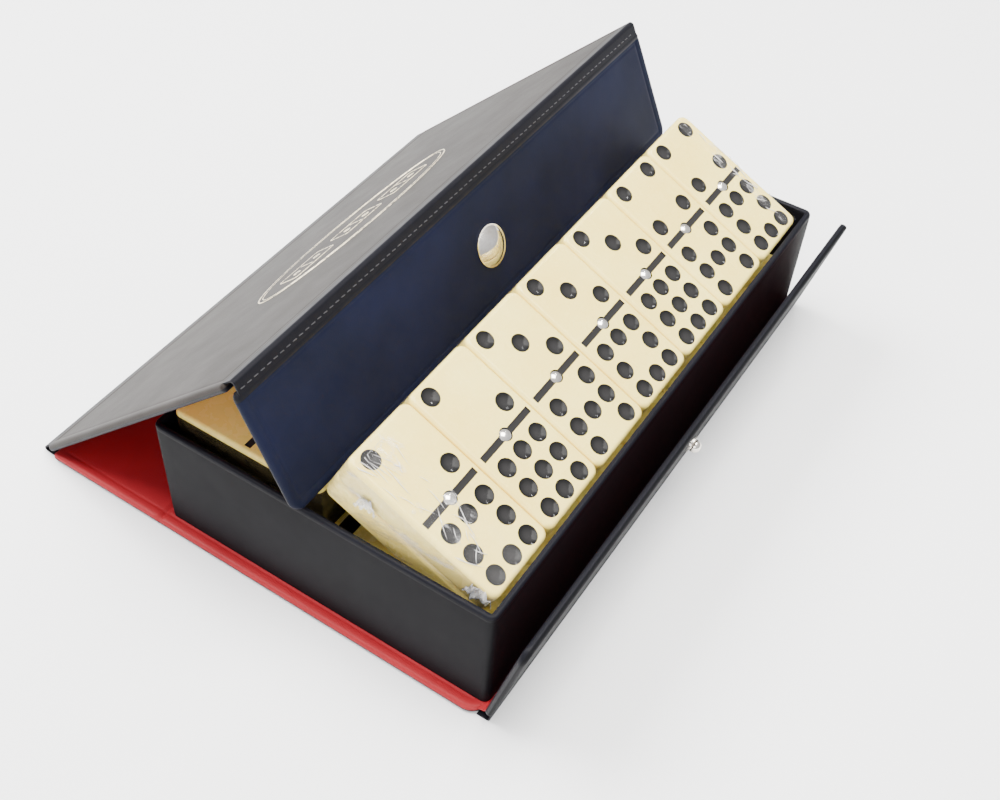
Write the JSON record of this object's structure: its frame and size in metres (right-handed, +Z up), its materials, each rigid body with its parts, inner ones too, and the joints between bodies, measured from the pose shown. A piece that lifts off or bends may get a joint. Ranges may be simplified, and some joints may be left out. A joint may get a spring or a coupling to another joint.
{
  "type": "boxed domino set",
  "caption": "Domino tiles with spinner pins, shrink-wrapped in blocks in a fold-over vinyl snap case whose lid is propped open like a tent.",
  "frame": {"origin": "centre of the base panel's underside, on the table", "axes": "+X along the case, -Y to the front snap panel, +Z up"},
  "size_m": [0.1952, 0.1681, 0.0809],
  "materials": {
    "tile_ivory": "polished",
    "spinner_nickel": "polished",
    "vinyl_black": "semi-gloss grained vinyl",
    "lining_red": "satin vinyl lining",
    "chipboard": "matte",
    "shrink_film": "clear glossy film"
  },
  "bodies": {
    "base": {"base_board": "chipboard", "base_cover": "vinyl_black", "base_lining": "lining_red", "back_hinge_strip": "vinyl_black", "front_hinge_strip": "vinyl_black", "tray_floor": "vinyl_black", "tray_front_wall": "vinyl_black", "tray_back_wall": "vinyl_black", "tray_near_wall": "vinyl_black", "tray_far_wall": "vinyl_black", "lower_block_tiles": "tile_ivory", "lower_block_spinners": "spinner_nickel", "lower_block_wrap": "shrink_film", "rear_top_tiles": "tile_ivory", "rear_top_spinners": "spinner_nickel", "rear_upper_tiles": "tile_ivory", "rear_upper_spinners": "spinner_nickel", "rear_upper_wrap": "shrink_film", "rear_lower_tiles": "tile_ivory", "rear_lower_spinners": "spinner_nickel", "rear_lower_wrap": "shrink_film", "back_board": "chipboard", "back_cover": "vinyl_black", "back_lining": "lining_red", "lid_hinge_strip": "vinyl_black"},
    "lid": {"lid_board": "chipboard", "lid_cover": "vinyl_black", "lid_lining": "lining_red", "ridge_hinge_strip": "vinyl_black"},
    "flap": {"flap_board": "chipboard", "flap_cover": "vinyl_black", "flap_lining": "lining_red", "snap_cap": "spinner_nickel", "snap_socket": "spinner_nickel"},
    "front_panel": {"front_board": "chipboard", "front_cover": "vinyl_black", "front_lining": "lining_red", "snap_stud": "spinner_nickel", "snap_post": "spinner_nickel"},
    "upper_block": {"upper_block_tiles": "tile_ivory", "upper_block_spinners": "spinner_nickel", "upper_block_wrap": "shrink_film"},
    "tile_2_8": {"tile_2_8": "tile_ivory", "spinner_2_8": "spinner_nickel"},
    "tile_2_9": {"tile_2_9": "tile_ivory", "spinner_2_9": "spinner_nickel"},
    "tile_3_7": {"tile_3_7": "tile_ivory", "spinner_3_7": "spinner_nickel"},
    "tile_3_8": {"tile_3_8": "tile_ivory", "spinner_3_8": "spinner_nickel"},
    "tile_3_9": {"tile_3_9": "tile_ivory", "spinner_3_9": "spinner_nickel"},
    "tile_4_7": {"tile_4_7": "tile_ivory", "spinner_4_7": "spinner_nickel"},
    "tile_4_8": {"tile_4_8": "tile_ivory", "spinner_4_8": "spinner_nickel"}
  },
  "joints": [
    {"name": "lid_open", "type": "hinge", "parent": "base", "child": "lid", "pos_m": [0, 0.101, 0.0012], "axis": [-1, 0, 0], "range_deg": [0, 136.2]},
    {"name": "flap_unfold", "type": "hinge", "parent": "lid", "child": "flap", "pos_m": [0, 0.01915, 0.07969], "axis": [-1, 0, 0], "range_deg": [0, 104.71]},
    {"name": "front_fold", "type": "hinge", "parent": "base", "child": "front_panel", "pos_m": [0, -0.0556, 0.0012], "axis": [1, 0, 0], "range_deg": [-13.4, 67]},
    {"name": "block_seat", "type": "hinge", "parent": "base", "child": "upper_block", "pos_m": [0, -0.04609, 0.04214], "axis": [-1, 0, 0], "range_deg": [0, 25.8]},
    {"name": "tile_2_8_lift", "type": "slide", "parent": "upper_block", "child": "tile_2_8", "axis": [0, -0.4352, 0.9003], "range_m": [0, 0.045]},
    {"name": "tile_2_9_lift", "type": "slide", "parent": "upper_block", "child": "tile_2_9", "axis": [0, -0.4352, 0.9003], "range_m": [0, 0.045]},
    {"name": "tile_3_7_lift", "type": "slide", "parent": "upper_block", "child": "tile_3_7", "axis": [0, -0.4352, 0.9003], "range_m": [0, 0.045]},
    {"name": "tile_3_8_lift", "type": "slide", "parent": "upper_block", "child": "tile_3_8", "axis": [0, -0.4352, 0.9003], "range_m": [0, 0.045]},
    {"name": "tile_3_9_lift", "type": "slide", "parent": "upper_block", "child": "tile_3_9", "axis": [0, -0.4352, 0.9003], "range_m": [0, 0.045]},
    {"name": "tile_4_7_lift", "type": "slide", "parent": "upper_block", "child": "tile_4_7", "axis": [0, -0.4352, 0.9003], "range_m": [0, 0.045]},
    {"name": "tile_4_8_lift", "type": "slide", "parent": "upper_block", "child": "tile_4_8", "axis": [0, -0.4352, 0.9003], "range_m": [0, 0.045]}
  ],
  "couplings": [
    {"joint": "flap_unfold", "follows": "lid_open", "ratio": 0.76872}
  ]
}
